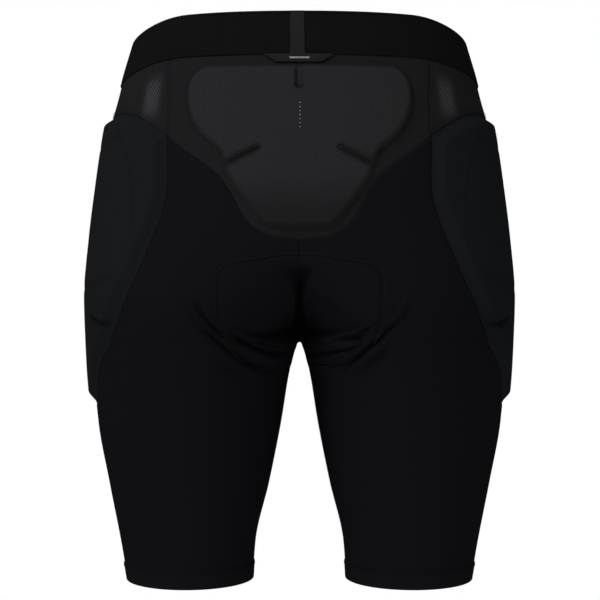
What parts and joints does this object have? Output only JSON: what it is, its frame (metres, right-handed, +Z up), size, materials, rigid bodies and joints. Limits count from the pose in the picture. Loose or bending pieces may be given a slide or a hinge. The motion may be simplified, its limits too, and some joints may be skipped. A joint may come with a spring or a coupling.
{
  "type": "padded impact shorts",
  "caption": "Close-fitting stretch shorts with foam pads in hip, tailbone and seat pockets, worn under ski or snowboard trousers.",
  "frame": {"origin": "centre of the waist opening, level with the top edge of the waistband", "axes": "+Z up along the wearer's body, +Y towards the wearer's front, +X towards the wearer's right"},
  "size_m": [0.4044, 0.2474, 0.516],
  "materials": {
    "waistband": "woven elastic, matt, fine ribs",
    "tape": "flat woven tape, slightly shiny",
    "pad_mesh": "fine perforated knit, matt",
    "pocket_cover": "ribbed stretch knit, matt",
    "stretch_fabric": "smooth stretch knit, matt",
    "hem": "folded and coverstitched stretch knit",
    "gripper": "flat elastic",
    "lining": "thin knit, matt",
    "foam": "soft closed-cell foam, matt"
  },
  "bodies": {
    "seat": {"waistband": "waistband", "waistband_back_tape": "tape", "tailbone_pocket_lining": "lining", "tailbone_pad": "foam", "tailbone_pocket_mesh": "pad_mesh", "seat_pad_sheet": "lining", "left_hip_mesh_panel": "pad_mesh", "right_hip_mesh_panel": "pad_mesh", "left_hip_pocket_lining": "lining", "right_hip_pocket_lining": "lining", "left_hip_pad": "foam", "right_hip_pad": "foam", "left_hip_pocket_cover": "pocket_cover", "right_hip_pocket_cover": "pocket_cover", "left_seat_panel": "stretch_fabric", "right_seat_panel": "stretch_fabric", "left_front_panel": "stretch_fabric", "right_front_panel": "stretch_fabric", "left_seat_pad_cushion": "foam", "right_seat_pad_cushion": "foam"},
    "left_leg": {"left_lower_leg": "stretch_fabric", "left_leg_hem": "hem", "left_hem_gripper": "gripper"},
    "right_leg": {"right_lower_leg": "stretch_fabric", "right_leg_hem": "hem", "right_hem_gripper": "gripper"},
    "loop": {"hang_loop": "tape"}
  },
  "joints": [
    {"name": "left_leg_flex", "type": "hinge", "parent": "seat", "child": "left_leg", "pos_m": [-0.1037, 0.0006, -0.326], "axis": [1, 0, 0], "range_deg": [-20, 30]},
    {"name": "right_leg_flex", "type": "hinge", "parent": "seat", "child": "right_leg", "pos_m": [0.1037, 0.0006, -0.326], "axis": [1, 0, 0], "range_deg": [-20, 30]},
    {"name": "hang_loop_lift", "type": "hinge", "parent": "seat", "child": "loop", "pos_m": [0, -0.1153, -0.0393], "axis": [1, 0, 0], "range_deg": [-90, 0]}
  ]
}
